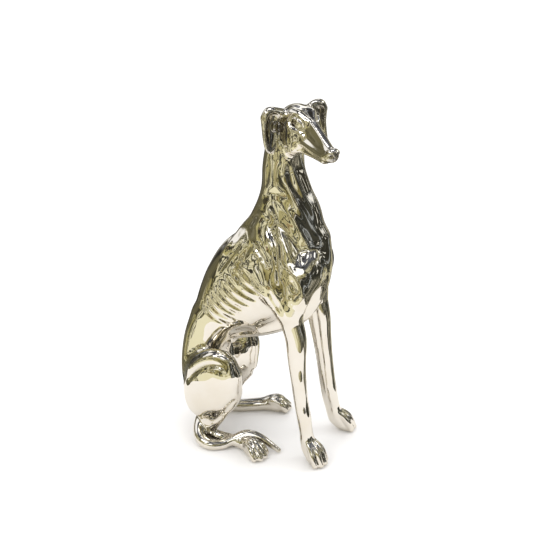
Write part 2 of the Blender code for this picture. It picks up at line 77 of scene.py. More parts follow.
# The room that the plating sees: the cosine and sine of its turn to the camera, its colours, its tones from
# below to above, the scales and places of its thin lines, and its patches.
TURN_COS, TURN_SIN = 0.94, 0.34
WHITE, BACKDROP = (1.0, 1.0, 1.0, 1), (0.915, 0.905, 0.895, 1)
CREAM, RUST, OLIVE_SHADE = (0.78, 0.75, 0.55, 1), (0.20, 0.09, 0.05, 1), (0.14, 0.13, 0.08, 1)
WINDOW, LAMPLIGHT = (0.90, 0.90, 0.90, 1), (1.2, 1.2, 1.18, 1)
ROOM_TONES = (
    (0.0, (0.60, 0.56, 0.44)), (0.30, (0.56, 0.52, 0.31)), (0.40, (0.36, 0.33, 0.16)),
    (0.47, (0.22, 0.19, 0.08)), (0.55, (0.46, 0.42, 0.21)), (0.66, (0.50, 0.47, 0.27)),
    (0.76, (0.28, 0.26, 0.16)), (0.88, (0.14, 0.145, 0.17)), (1.0, (0.25, 0.26, 0.30)),
)
VEINS = ((1.8, (6.0, 1.3, 2.2)), (2.9, (0.7, 5.2, 3.1)))
# A patch: strength, colour, the way to its middle (behind, right, up), and how nearly a way points there
# where the patch starts and where it is full.
ROOM_PATCHES = (
    (0.8, OLIVE_SHADE, (0.40, -0.91, 0.05), (0.93, 0.965)),
    (0.8, OLIVE_SHADE, (0.55, -0.76, -0.34), (0.945, 0.975)),
    (1.0, WINDOW, (0.34, -0.72, 0.60), (0.935, 0.96)),
)

# Lamps: place, size, power and colour. All of them look at one point.
LAMP_TARGET = (0, 0, 0.4)
LAMPS = {
    "key": ((-0.9, -1.6, 2.1), (0.7, 0.5), 6, (1.0, 1.0, 1.0)),
    "rim": ((1.5, 0.9, 1.7), (0.3, 0.7), 3, (0.93, 0.96, 1.0)),
    "top": ((0.0, 0.1, 2.6), (1.0, 0.35), 4, (1.0, 1.0, 1.0)),
}

# The camera: degrees, the clay's millimetres, and a focal length in pixels of the frame.
SENSOR = 36.0
FRAME_PIXELS = 533
CLIP_END = 50.0
CAMERA = {"azimuth": 20, "elevation": 25, "distance": 1950, "focal": 963, "target": (14, -21, 423.6)}

# The numbers of the sockets of a colour Mix node.
MIX_INPUTS, MIX_RESULT = (0, 6, 7), 2


def curve_through(rows, per_span):
    """Catmull-Rom curve through rows, per_span steps to a span.

    b + t/2 (c - a) + t^2/2 (2a - 5b + 4c - d) + t^3/2 (3b - 3c + d - a) between b and c.
    """
    rows = np.asarray(rows, float)
    if len(rows) == 2:
        t = np.linspace(0, 1, per_span + 1)[:, None]
        return rows[0] * (1 - t) + rows[1] * t
    p = np.vstack([2 * rows[0] - rows[1], rows, 2 * rows[-1] - rows[-2]])
    t = np.linspace(0, 1, per_span, endpoint=False)[:, None]
    spans = []
    for a, b, c, d in zip(p[:-3], p[1:-2], p[2:-1], p[3:]):
        cubic = c - a + t * (2 * a - 5 * b + 4 * c - d + t * (3 * (b - c) + d - a))
        spans.append(b + 0.5 * t * cubic)
    return np.vstack(spans + [rows[-1:]])


class Clay:
    """A block of clay: signed distances on a grid, negative inside the figure."""

    def __init__(self, low, high, step):
        self.step = float(step)
        self.low = np.asarray(low, float)
        counts = np.ceil((np.asarray(high, float) - self.low) / step).astype(int) + 1
        self.axes = [(self.low[k] + step * np.arange(counts[k])).astype(np.float32) for k in range(3)]
        self.d = np.full(counts, FAR, np.float32)

    def window(self, low, high, within=None):
        cut = [slice(int(np.searchsorted(self.axes[k], low[k])), int(np.searchsorted(self.axes[k], high[k])))
               for k in range(3)]
        if within is not None:
            cut = [slice(max(a.start, b.start), max(min(a.stop, b.stop), max(a.start, b.start)))
                   for a, b in zip(cut, within)]
        return tuple(cut)

    def grid(self, cut):
        x, y, z = (self.axes[k][cut[k]] for k in range(3))
        return x[:, None, None], y[None, :, None], z[None, None, :]

    def merge(self, cut, d, blend, carve):
        """Adds or carves: min(a, b) - h^2 / (4 blend), where h = max(blend - |a - b|, 0)."""
        old = self.d[cut]
        other = -d if carve else d
        h = np.maximum(blend - np.abs(old - other), 0)
        round_off = h * h / (4 * blend)
        self.d[cut] = np.maximum(old, other) + round_off if carve else np.minimum(old, other) - round_off

    def limb(self, rows, blend, side=(0, 1, 0), per_span=6, carve=False):
        """An ellipse swept along a curve; rows hold x, y, z, half-width along side and half-depth across it.

        d = |w| (1 - 1/q), where q is the length of w measured in radii.
        """
        fine = curve_through([tuple(r) if len(r) == 5 else tuple(r) + (r[3],) for r in rows], per_span)
        path, radii = fine[:, :3], np.maximum(fine[:, 3:], 0.1)
        margin = blend + MARGIN_STEPS * self.step
        reach = radii.max() + margin
        whole = self.window(path.min(0) - reach, path.max(0) + reach)
        total = np.full([s.stop - s.start for s in whole], FAR, np.float32)
        for i in range(len(path) - 1):
            a, b = path[i], path[i + 1]
            r = radii[i:i + 2].max() + margin
            cut = self.window(np.minimum(a, b) - r, np.maximum(a, b) + r, whole)
            length = float(np.linalg.norm(b - a))
            if length < TINY or any(s.stop <= s.start for s in cut):
                continue
            x, y, z = self.grid(cut)
            w = (x - a[0], y - a[1], z - a[2])
            t = (b - a) / length
            u = np.asarray(side, float) - t * np.dot(side, t)
            u = u / np.linalg.norm(u)
            v = np.cross(t, u)
            along, du, dv = (w[0] * e[0] + w[1] * e[1] + w[2] * e[2] for e in (t, u, v))
            share = np.clip(along / length, 0, 1).astype(np.float32)
            over = along - share * length
            ru = radii[i, 0] + (radii[i + 1, 0] - radii[i, 0]) * share
            rv = radii[i, 1] + (radii[i + 1, 1] - radii[i, 1]) * share
            size = np.sqrt(du * du + dv * dv + over * over) + TINY
            q = np.sqrt((du / ru) ** 2 + (dv / rv) ** 2 + (over / np.minimum(ru, rv)) ** 2) + TINY
            here = tuple(slice(s.start - o.start, s.stop - o.start) for s, o in zip(cut, whole))
            total[here] = np.minimum(total[here], size * (1 - 1 / q))
        self.merge(whole, total, blend, carve)

    def lump(self, centre, radii, blend, axes=None, carve=False):
        """An ellipsoid with its radii along the rows of axes; d = |w| (1 - 1/q)."""
        axes = np.eye(3) if axes is None else axes
        reach = max(radii) + blend + MARGIN_STEPS * self.step
        centre = np.asarray(centre, float)
        cut = self.window(centre - reach, centre + reach)
        x, y, z = self.grid(cut)
        w = (x - centre[0], y - centre[1], z - centre[2])
        q = sum(((w[0] * e[0] + w[1] * e[1] + w[2] * e[2]) / r) ** 2 for e, r in zip(axes, radii))
        q = np.sqrt(q) + TINY
        size = np.sqrt(w[0] ** 2 + w[1] ** 2 + w[2] ** 2)
        self.merge(cut, (size * (1 - 1 / q)).astype(np.float32), blend, carve)

    def stroke(self, points, width, depth, per_span=8, fade=0.3):
        """Sinks the surface along a line, or lifts it for a negative depth, by depth f exp(-(r / width)^2).

        f rises smoothly from 0 to 1 over the share fade of the line at each end.
        """
        path = curve_through(points, per_span)
        reach = STROKE_REACH * width
        whole = self.window(path.min(0) - reach, path.max(0) + reach)
        total = np.zeros([s.stop - s.start for s in whole], np.float32)
        so_far = np.concatenate([[0], np.cumsum(np.linalg.norm(np.diff(path, axis=0), axis=1))])
        for i in range(len(path) - 1):
            a, b = path[i], path[i + 1]
            cut = self.window(np.minimum(a, b) - reach, np.maximum(a, b) + reach, whole)
            if any(s.stop <= s.start for s in cut):
                continue
            x, y, z = self.grid(cut)
            w = (x - a[0], y - a[1], z - a[2])
            e = b - a
            share = np.clip((w[0] * e[0] + w[1] * e[1] + w[2] * e[2]) / max(e @ e, 1e-9), 0, 1)
            r2 = sum((w[k] - share * e[k]) ** 2 for k in range(3))
            along = (so_far[i] + share * (so_far[i + 1] - so_far[i])) / so_far[-1]
            f = np.clip(np.minimum(along, 1 - along) / fade, 0, 1)
            here = tuple(slice(s.start - o.start, s.stop - o.start) for s, o in zip(cut, whole))
            total[here] = np.maximum(total[here], f * f * (3 - 2 * f) * np.exp(-r2 / width ** 2))
        self.d[whole] += depth * total

    def touch_side(self, x, z, side):
        """How far out the surface is at (x, z), met from the left for side 1 or the right for side -1."""
        at = [(x - self.low[0]) / self.step, (z - self.low[2]) / self.step]
        counts = (self.d.shape[0], self.d.shape[2])
        base = [int(min(max(math.floor(v), 0), n - 2)) for v, n in zip(at, counts)]
        part = [v - b for v, b in zip(at, base)]
        line = 0
        for i, j in ((0, 0), (0, 1), (1, 0), (1, 1)):
            share = (part[0] if i else 1 - part[0]) * (part[1] if j else 1 - part[1])
            line = line + share * self.d[base[0] + i, :, base[1] + j]
        inside = np.nonzero(line < 0)[0]
        if len(inside) == 0:
            return self.low[1] + self.step * int(np.argmin(line))
        k = int(inside[-1] if side > 0 else inside[0])
        n = k + side
        return self.low[1] + self.step * (k + side * line[k] / (line[k] - line[n]))

    def smooth(self):
        """Softens the field with weights 1, 2, 1 along each axis."""
        for axis in range(3):
            d = np.moveaxis(self.d, axis, 0)
            d[1:-1] = (d[:-2] + 2 * d[1:-1] + d[2:]) / 4

    def fuse(self):
        """Fills the nearest outside corner of each cell where two skins would meet in one point.

        Those are the cells whose inside corners, or whose outside corners, are not all joined along edges.
        It goes on until none is left.
        """
        def joined(corners):
            reached = set(list(corners)[:1])
            for _ in corners:
                reached |= {c for c in corners for e in (1, 2, 4) if c ^ e in reached}
            return len(reached) == len(corners)

        corners_in = [{c for c in range(8) if code >> c & 1} for code in range(256)]
        split = np.array([not (joined(some) and joined(set(range(8)) - some)) for some in corners_in])
        offsets = np.array([(c & 1, c >> 1 & 1, c >> 2 & 1) for c in range(8)])
        size = np.array(self.d.shape) - 1
        for _ in range(FUSE_ROUNDS):
            inside = self.d < 0
            code = sum(inside[x:x + size[0], y:y + size[1], z:z + size[2]].astype(np.int16) << n
                       for n, (x, y, z) in enumerate(offsets))
            cells = np.argwhere(split[code])
            if len(cells) == 0:
                break
            corners = cells[:, None, :] + offsets
            values = self.d[tuple(np.moveaxis(corners, 2, 0))]
            nearest = np.where(values < 0, FAR, values).argmin(axis=1)
            self.d[tuple(corners[np.arange(len(cells)), nearest].T)] = JUST_INSIDE * self.step

    def skin(self):
        """Surface nets: a point in every cell the surface passes, at the mean of its edge crossings.

        Each crossed grid edge gives one four-sided face, wound to look outward.
        """
        shape = np.array(self.d.shape)
        stride = np.array([shape[1] * shape[2], shape[2], 1])
        flat = self.d.ravel()
        inside = self.d < 0
        faces, points = [], []
        for a in range(3):
            b, c = (a + 1) % 3, (a + 2) % 3
            here = [slice(1, n - 1) for n in shape]
            there = list(here)
            there[a] = slice(2, shape[a])
            cross = np.argwhere(inside[tuple(here)] != inside[tuple(there)]) + 1
            at = cross @ stride
            p = cross.astype(float)
            p[:, a] += flat[at] / (flat[at] - flat[at + stride[a]])
            ring = np.stack([at, at - stride[b], at - stride[b] - stride[c], at - stride[c]], 1)
            outward = flat[at] < 0
            ring[~outward] = ring[~outward][:, ::-1]
            faces.append(ring)
            points.append(np.repeat(p, 4, axis=0))
        cells, index = np.unique(np.concatenate(faces).ravel(), return_inverse=True)
        points = np.concatenate(points)
        count = np.bincount(index)
        verts = np.stack([np.bincount(index, points[:, k]) / count for k in range(3)], 1)
        return self.low + verts * self.step, index.reshape(-1, 4)


class Place:
    """A local frame for head or foot: forward, left and up, turned by yaw and tilted down by pitch."""

    def __init__(self, origin, yaw, pitch=0.0, size=1.0):
        cy, sy = math.cos(math.radians(yaw)), math.sin(math.radians(yaw))
        cp, sp = math.cos(math.radians(pitch)), math.sin(math.radians(pitch))
        forward = np.array([cy * cp, sy * cp, -sp])
        level = np.array([-sy, cy, 0.0])
        self.axes = np.stack([forward, level, np.cross(forward, level)])
        self.origin = np.asarray(origin, float)
        self.size = size

    def point(self, p):
        return self.origin + np.asarray(p, float) @ self.axes * self.size

    def rows(self, rows):
        return [tuple(self.point(r[:3])) + tuple(v * self.size for v in r[3:]) for r in rows]


# The two sides of the figure: where each leg stands, the rows of its long bones, and the set of the ear.
SIDES = {
    -1: {
        "elbow": (78, -56, 336),
        "fore": [(90, -56, 290, 14, 23), (93, -56, 240, 12.5, 19.5), (98, -56, 188, 12, 16.5),
                 (104, -56, 142, 12, 15.5), (110, -56, 108, 14, 15.5), (114, -57, 84, 13.5, 14.5),
                 (119, -58, 58, 13.5, 14), (124, -59, 36, 14, 14)],
        "paw": (132, -63, 0), "paw_yaw": -22, "back": 0,
        "hock": (-108, -62, 30),
        "hind": [(-114, -61, 20, 12, 15), (-84, -62, 15, 12, 13), (-50, -66, 16, 12, 12.5),
                 (-20, -73, 18, 13, 13)],
        "toes": (4, -84, 0), "toes_yaw": -24, "ear": 80, "fold": 20, "spread": 56, "flare": -2,
    },
    1: {
        "elbow": (96, 58, 336),
        "fore": [(104, 60, 285, 14.5, 25), (111, 61, 235, 13, 21), (118, 62, 184, 12.5, 18.5),
                 (124, 63, 138, 12.5, 18), (129, 64, 108, 14.5, 18), (133, 65, 84, 14, 17.5),
                 (139, 68, 58, 14, 16.5), (146, 71, 36, 15, 16)],
        "paw": (154, 74, 0), "paw_yaw": 27, "back": 14,
        "hock": (-118, 56, 30),
        "hind": [(-122, 54, 20, 12, 16), (-88, 66, 15, 14, 15), (-56, 80, 15.5, 14, 15),
                 (-30, 90, 18, 14.5, 15)],
        "toes": (-8, 98, 0), "toes_yaw": 22, "ear": 90, "fold": 24, "spread": 45, "flare": 22,
    },
}

# Muscle and rib lines on both flanks: width, depth (negative for a ridge) and (x, z) points.
FLANK_LINES = [
    # long muscles of the neck and the step at its foot
    (7.0, 3.0, [(54, 680), (60, 650), (68, 614), (84, 585), (102, 556), (116, 520)]),
    (7.0, 2.6, [(70, 662), (82, 630), (96, 596), (110, 562)]),
    (12.0, -3.0, [(34, 652), (36, 622), (42, 594)]),
    (8.0, 2.2, [(2, 562), (22, 582), (44, 586), (66, 574)]),
    (8.5, -4.0, [(50, 566), (69, 548), (87, 523), (104, 494), (112, 474)]),
    # shoulder blade and upper arm
    (5.5, 4.6, [(20, 566), (30, 548), (38, 531), (31, 514), (46, 492), (53, 460), (57, 435), (59, 408)]),
    (6.0, 3.6, [(40, 538), (60, 518), (86, 484), (104, 454)]),
    (9.0, -2.6, [(46, 516), (64, 492), (82, 462)]),
    (7.0, -3.4, [(66, 461), (84, 445), (101, 424), (110, 398), (108, 372)]),
    (7.0, 3.0, [(84, 425), (94, 408)]),
    (5.0, 3.4, [(-9, 485), (8, 474), (24, 458), (36, 438)]),
    (5.0, 3.8, [(-10, 484), (-24, 452), (-35, 422), (-31, 388), (-16, 364)]),
    (9.0, -3.5, [(-10, 456), (4, 466)]),
    (5.0, 3.0, [(39, 405), (47, 380), (60, 360), (70, 348)]),
    # back and loin
    (6.0, -2.6, [(-94, 412), (-68, 460), (-43, 500), (-12, 536)]),
    (5.0, 2.4, [(-90, 392), (-66, 430), (-44, 462), (-28, 492)]),
    # hollow of the flank and the edge of the belly
    (14.0, 10.0, [(-16, 268), (-38, 263), (-60, 252)]),
    # haunch: its ridge, the crease under the ridge and the fold over the shank
    (7.0, -5.2, [(-154, 168), (-132, 194), (-106, 218), (-82, 231), (-58, 231), (-42, 220), (-32, 198)]),
    (5.5, 5.5, [(-148, 146), (-132, 174), (-108, 200), (-84, 213), (-60, 214), (-45, 200)]),
    (5.5, 5.0, [(-30, 138), (-46, 116), (-68, 86), (-92, 48)]),
]

RIBS = 8
LAST_RIB, RIB_PITCH = (-128, 330), (12, 16.5)
RIB_WIDTH, RIB_DEPTH = 5.4, 3.2


def rib_line(n):
    """The groove behind rib n: it runs down and forward across the trunk, sagging by 7 at its middle."""
    x, z = LAST_RIB[0] + n * RIB_PITCH[0], LAST_RIB[1] + n * RIB_PITCH[1]
    length = 84 + 3 * n
    return [(x + length * (0.85 * t - 0.06 * math.sin(math.pi * t)),
             z - length * (0.53 * t + 0.09 * math.sin(math.pi * t))) for t in (0, 0.25, 0.5, 0.75, 1)]


def model_trunk(clay):
    """Body and neck: ellipses from the rump up to the skull, with the keel and the rump muscles."""
    clay.limb([
        (-112, 0, 52, 34, 30), (-124, 0, 100, 46, 42), (-130, 0, 158, 47, 44), (-124, 0, 214, 42, 46),
        (-109, 0, 258, 40, 54), (-82, 0, 302, 47, 72), (-49, 0, 344, 55, 90), (-9, 0, 390, 60, 101),
        (31, 0, 436, 58, 90), (55, 0, 484, 50, 71), (58, 0, 532, 41, 65), (50, 0, 582, 35, 52),
        (42, 0, 632, 31, 43), (44, 0, 690, 30, 35),
    ], 10, per_span=12)
    clay.limb([(-28, 0, 484, 14, 18), (-5, 0, 520, 15, 22), (12, 0, 554, 13, 21), (24, 0, 590, 10, 14)], 22)
    clay.limb([
        (120, 0, 492, 18, 18), (126, 0, 440, 22, 20), (113, 0, 380, 24, 22), (84, 0, 322, 24, 20),
        (44, 0, 288, 20, 14), (0, 0, 268, 18, 12), (-36, 0, 262, 16, 10), (-74, 0, 270, 14, 8),
    ], 30)
    for s in SIDES:
        clay.limb([(-128, s * 14, 280, 14, 24), (-150, s * 18, 220, 18, 24), (-153, s * 22, 150, 24, 26),
                   (-140, s * 24, 92, 26, 28)], 30)


def model_shoulder(clay, s, leg):
    """Blade, upper arm, triceps and the point of the shoulder."""
    x, y, z = leg["elbow"]
    clay.limb([(6, s * 22, 512, 11, 18), (28, s * 38, 480, 17, 30), (70, s * 50, 436, 20, 36),
               (98, s * 46, 410, 22, 26)], 20)
    clay.limb([(102, s * 50, 430, 22, 24), (94, s * 58, 390, 22, 26), (x, y, z + 10, 18, 23)], 18)
    clay.limb([(14, s * 50, 440, 12, 24), (40, s * 60, 398, 17, 32), (x - 6, y, z + 12, 17, 25)], 16)
    clay.lump((112, s * 32, 436), (26, 26, 40), 18)


def model_foot(clay, place, arch):
    """A smooth foot with four long toes ridged over it; arch is 1 for a tall paw and 0 for a flat foot."""
    left = place.axes[1]

    def rise(flat, tall):
        return flat + (tall - flat) * arch

    clay.limb(place.rows([(-15, 0, rise(20, 54), 12, 12.5), (-9, 0, rise(19, 38), 14, 16),
                          (1, 0, rise(17, 25), 17.5, 18), (13, 0, 14, 19, 14), (24, 0, 11, 16, 10)]),
              9, side=left)
    for out, reach, lift in ((-13.5, 20, 0), (-4.8, 28, 3), (4.8, 28, 3), (13.5, 20, 0)):
        clay.limb(place.rows([
            (-20, out * 0.40, rise(29, 66), 3.4, 4), (-9, out * 0.68, rise(30 + lift, 53 + lift), 4.4, 5.5),
            (reach * 0.3, out * 1.02, rise(27 + lift, 41 + lift), 5.2, 6.8),
            (reach * 0.75, out * 1.28, rise(20, 28 + lift), 5.8, 7.4),
            (reach + 3, out * 1.32, 10, 5.6, 7.2),
        ]), 1.8, side=left)


def model_foreleg(clay, leg):
    x, y, z = leg["elbow"]
    clay.limb([(x - 4, y, z + 20, 18, 26), (x, y, z, 17, 25)] + leg["fore"], 12)
    model_foot(clay, Place(leg["paw"], leg["paw_yaw"]), 1.0)


def model_hindleg(clay, s, leg):
    """Thigh, the swell of the haunch, shank and the foot flat on the floor."""
    b = leg["back"]
    x, y, z = leg["hock"]
    clay.limb([(-126 - b, s * 46, 148, 36, 36), (-102 - b, s * 62, 172, 32, 50),
               (-70 - b, s * 72, 190, 27, 52), (-48 - b, s * 74, 197, 20, 40)], 18)
    clay.lump((-84 - b, s * 66, 146), (58, 33, 66), 20)
    clay.lump((-119 - b, s * 54, 110), (44, 34, 56), 18)
    clay.limb([(-52 - b, s * 70, 186, 18, 24), (-58 - b, s * 68, 140, 17, 24), (-74 - b, s * 65, 92, 14, 21),
               (x + 16, y, z + 22, 11, 15), (x, y, z, 11, 15)], 12)
    clay.limb(leg["hind"], 8)
    model_foot(clay, Place(leg["toes"], leg["toes_yaw"], size=1.04), 0.0)


def model_tail(clay):
    """The tail leaves the rump, curls round the right hock and lies over the foot."""
    clay.limb([
        (-112, 0, 64, 16), (-128, -30, 48, 15), (-127, -64, 32, 14), (-114, -88, 20, 13),
        (-90, -96, 14, 12), (-64, -86, 14, 11), (-42, -72, 24, 10), (-16, -60, 36, 9),
        (12, -56, 31, 8), (37, -57, 18, 7), (56, -59, 9, 5.5),
    ], 5, side=(0, 0, 1))
    clay.limb([(-104, -4, 72, 26), (-118, -40, 64, 18), (-112, -58, 50, 12)], 10)


def model_flanks(clay):
    ribs = [(RIB_WIDTH, RIB_DEPTH, rib_line(n)) for n in range(RIBS)]
    for s in SIDES:
        for width, depth, points in FLANK_LINES + ribs:
            clay.stroke([(x, clay.touch_side(x, z, s), z) for x, z in points], width, depth)


HEAD = Place((87, -21, 725.5), yaw=-45, pitch=10)


def model_head(clay):
    """Long narrow head turned to the dog's right; x runs from the skull's middle to the nose."""
    left = HEAD.axes[1]

    def limb(rows, blend, **more):
        clay.limb(HEAD.rows(rows), blend, side=left, **more)

    def lump(centre, radii, blend, carve=False):
        clay.lump(HEAD.point(centre), radii, blend, HEAD.axes, carve)

    def stroke(points, width, depth, **more):
        clay.stroke([HEAD.point(p) for p in points], width, depth, **more)

    # skull, brow and muzzle, lower jaw, nose
    lump((-16, 0, 0), (48, 33, 31), 12)
    limb([(-24, 0, 0, 31, 29), (4, 0, 1.5, 23, 29), (36, 0, 0, 14.5, 26), (76, 0, -4, 12, 20.5),
          (102, 0, -6, 12, 16.5), (114, 0, -5, 13.5, 13.5)], 8, per_span=10)
    limb([(-4, 0, -14, 27, 20), (36, 0, -14, 22, 14), (76, 0, -13.5, 18, 11.5), (104, 0, -11, 15.5, 9.5)], 7)
    limb([(-16, 0, -34, 22, 15), (24, 0, -34, 16, 12), (64, 0, -29, 11.5, 8), (96, 0, -25, 9, 6)], 7)
    lump((121, 0, 2.5), (9.5, 12.5, 9.5), 4)
    for s in SIDES:
        # cheek, cheekbone and brow
        lump((-4, s * 20, -28), (31, 15, 28), 12)
        limb([(-36, s * 29, 2, 5), (-10, s * 28, 0, 5), (16, s * 22, -1, 4), (34, s * 17, -3, 3)], 8)
        limb([(-14, s * 19, 24.5, 5), (6, s * 15, 27.5, 6), (24, s * 9, 23, 4)], 10)
        # eye: its hollow, its ball and its lids
        lump((13, s * 24.5, 13.5), (16, 9.5, 11), 4, carve=True)
        lump((12.5, s * 13.5, 13), (12.5, 12, 9.5), 1.0)
        limb([(-2, s * 25.5, 11.5, 1.6), (4, s * 25.5, 19, 2.3), (14, s * 23.5, 22, 2.5),
              (23, s * 20, 18, 2.2), (30, s * 16.5, 11, 1.4)], 1.5)
        limb([(-2, s * 25.5, 10.5, 1.6), (6, s * 25.5, 4.5, 2.0), (15, s * 23, 3, 2.0),
              (23, s * 19.5, 5.5, 1.8), (30, s * 16.5, 10, 1.4)], 1.5)
        model_ear(clay, s)
        # lip line, edge of the bridge and nostril
        stroke([(28, s * 22, -39), (31, s * 22, -33), (48, s * 19, -31), (76, s * 15, -25),
                (104, s * 12, -20)], 2.8, 4.5, fade=0.08)
        stroke([(10, s * 6.5, 31), (40, s * 6, 25), (78, s * 6, 16), (112, s * 6, 8)], 3.6, -2.4)
        lump((129, s * 6.5, 0.5), (6, 3.4, 3.0), 1.5, carve=True)
        stroke([(128, s * 9, 1), (122, s * 13, -1), (116, s * 13, -5)], 2.2, 2.2)
    stroke([(131, 0, -2), (128, 0, -9), (124, 0, -14)], 1.8, 2.0, fade=0.2)
    stroke([(-16, 0, 33), (10, 0, 31), (40, 0, 22)], 5, 2.0)
    clay.limb([(44, -2, 652, 26, 32), (50, -6, 680, 25, 31), tuple(HEAD.point((-26, 0, -22))) + (24, 27)], 12)


def model_ear(clay, s):
    """A soft ear: it lifts from the skull, folds over and hangs, its hollow facing forward.

    Down the hanging part by the share u, the ear is at height fold - length u and spread + flare u^2 to
    the side.
    """
    forward, left, _ = HEAD.axes
    length, fold, spread, flare = (SIDES[s][name] for name in ("ear", "fold", "spread", "flare"))

    def hang(rows):
        return HEAD.rows([(x, s * (spread + out + flare * u * u), fold - length * u, a, b)
                          for x, out, u, a, b in rows])

    clay.limb(hang([(-30, 0, 0.0, 13, 9), (-29, 0, 0.16, 17.5, 12), (-28, -1, 0.39, 16.5, 11.5),
                    (-26, -1, 0.64, 14.5, 9), (-24, 0, 0.86, 10.5, 5.5), (-23, 0, 1.0, 4.5, 3)]),
              3, side=left, per_span=8)
    clay.limb(HEAD.rows([(-30, s * 22, 14, 9, 8), (-30, s * (spread - 12), fold + 1, 8, 8),
                         (-30, s * (spread + 3), fold + 2, 8, 8), (-29, s * (spread + 12), fold - 8, 6, 7)]),
              6, side=forward)
    clay.limb(hang([(-19, -4, 0.10, 12, 11), (-17, -4, 0.27, 15, 14), (-16, -3, 0.46, 14.5, 13),
                    (-16, -2, 0.66, 11, 9), (-17, 0, 0.86, 5.5, 5)]), 2.0, side=left, carve=True, per_span=8)
    clay.lump(HEAD.point((-26, s * (spread - 9), -8)), (5, 4.5, 9), 6, HEAD.axes)


def model_greyhound(step):
    clay = Clay(BLOCK_LOW, BLOCK_HIGH, step)
    model_trunk(clay)
    for s, leg in SIDES.items():
        model_shoulder(clay, s, leg)
        model_foreleg(clay, leg)
        model_hindleg(clay, s, leg)
    model_flanks(clay)
    model_tail(clay)
    model_head(clay)
    clay.smooth()
    clay.fuse()
    return clay


def field_at(clay, points):
    """The clay's signed distance at points: a share of each of the eight grid values round them."""
    place = (points - clay.low) / clay.step
    base = np.clip(np.floor(place).astype(int), 0, np.array(clay.d.shape) - 2)
    share = place - base
    total = np.zeros(len(points))
    for x in (0, 1):
        for y in (0, 1):
            for z in (0, 1):
                weight = np.ones(len(points))
                for axis, one in enumerate((x, y, z)):
                    weight = weight * (share[:, axis] if one else 1 - share[:, axis])
                total += weight * clay.d[base[:, 0] + x, base[:, 1] + y, base[:, 2] + z]
    return total


def slope_at(clay, points, reach):
    """The field's slope: the difference of its values reach either side along each axis."""
    slope = np.empty_like(points)
    for axis in range(3):
        step = np.zeros(3)
        step[axis] = reach
        slope[:, axis] = (field_at(clay, points + step) - field_at(clay, points - step)) / (2 * reach)
    return slope


def hollow_at(clay, points, normals, reach):
    """How hollow the surface is: minus the mean field at four points reach out along the tangent plane."""
    up = np.where(np.abs(normals[:, 2:]) > NEARLY_UPRIGHT, (1.0, 0.0, 0.0), (0.0, 0.0, 1.0))
    along = np.cross(normals, up)
    along /= np.linalg.norm(along, axis=1, keepdims=True)
    across = np.cross(normals, along)
    around = [points + reach * e for e in (along, -along, across, -across)]
    return -sum(field_at(clay, p) for p in around) / (4 * reach)


def shut_in_at(clay, points, normals, reaches):
    """How shut in a point is, from 0 to 1.

    Seen from r out along the normal, the nearest clay falls short of r by some share of r: this is the mean
    of that share over the reaches.
    """
    short = [1 - np.clip(field_at(clay, points + r * normals), 0, r) / r for r in reaches]
    return sum(short) / len(reaches)


def ear_and_nose_shade_at(points):
    """How dark the painted shade is, from 0 to 1, in the hollows of the ears and on the nose.

    It fades with the distance from the middle of each, counted in its own radii along the head's axes.
    """
    local = (points - HEAD.origin) @ HEAD.axes.T
    spots = []
    for s, side in SIDES.items():
        middle = (-21, s * (side["spread"] - 3), side["fold"] - 0.44 * side["ear"])
        spots.append((middle, (11, 13, 0.40 * side["ear"])))
    spots.append(((129, 0, -3), (8, 12, 8)))
    return sum(np.clip(EAR_AND_NOSE_SHADE_REACH - np.linalg.norm((local - middle) / np.array(radii), axis=1), 0, 1)
               for middle, radii in spots)


def quad_mesh(name, points, faces):
    """A mesh from arrays of points and of four-sided faces."""
    mesh = bpy.data.meshes.new(name)
    mesh.vertices.add(len(points))
    mesh.vertices.foreach_set("co", points.astype(np.float32).ravel())
    mesh.loops.add(faces.size)
    mesh.loops.foreach_set("vertex_index", faces.astype(np.int32).ravel())
    mesh.polygons.add(len(faces))
    mesh.polygons.foreach_set("loop_start", np.arange(0, faces.size, 4, dtype=np.int32))
    mesh.update(calc_edges=True)
    return mesh


def thin_out(mesh, facets):
    """Merges the flattest neighbours until about this many triangles are left."""
    holder = bpy.data.objects.new("thinning", mesh)
    bpy.context.scene.collection.objects.link(holder)
    modifier = holder.modifiers.new("thin", "DECIMATE")
    modifier.ratio = facets / (2 * len(mesh.polygons))
    modifier.use_collapse_triangulate = True
    depsgraph = bpy.context.evaluated_depsgraph_get()
    thinned = bpy.data.meshes.new_from_object(holder.evaluated_get(depsgraph))
    bpy.data.objects.remove(holder)
    bpy.data.meshes.remove(mesh)
    return thinned


def cut_level(mesh, level):
    """Cuts the figure flat at this height and closes its soles."""
    bm = bmesh.new()
    bm.from_mesh(mesh)
    parts = list(bm.verts) + list(bm.edges) + list(bm.faces)
    bmesh.ops.bisect_plane(bm, geom=parts, dist=1e-3, plane_co=(0, 0, level), plane_no=(0, 0, 1),
                           clear_inner=True)
    bmesh.ops.holes_fill(bm, edges=[e for e in bm.edges if e.is_boundary], sides=0)
    bmesh.ops.triangulate(bm, faces=[f for f in bm.faces if len(f.verts) > 3])
    bmesh.ops.recalc_face_normals(bm, faces=bm.faces)
    bm.to_mesh(mesh)
    bm.free()


def settle(clay, points):
    """Moves the points along the field's slope onto the clay's surface, all but those of the flat soles."""
    free = points[:, 2] > FLOOR + SOLE_PLAY
    for _ in range(SETTLE_ROUNDS):
        slope = slope_at(clay, points, clay.step)
        size = np.maximum((slope ** 2).sum(1, keepdims=True), LEAST_SLOPE)
        move = -field_at(clay, points)[:, None] * slope / size
        move[points[:, 2] + move[:, 2] < FLOOR, 2] = 0
        points += np.clip(move, -LONGEST_MOVE, LONGEST_MOVE) * free[:, None]


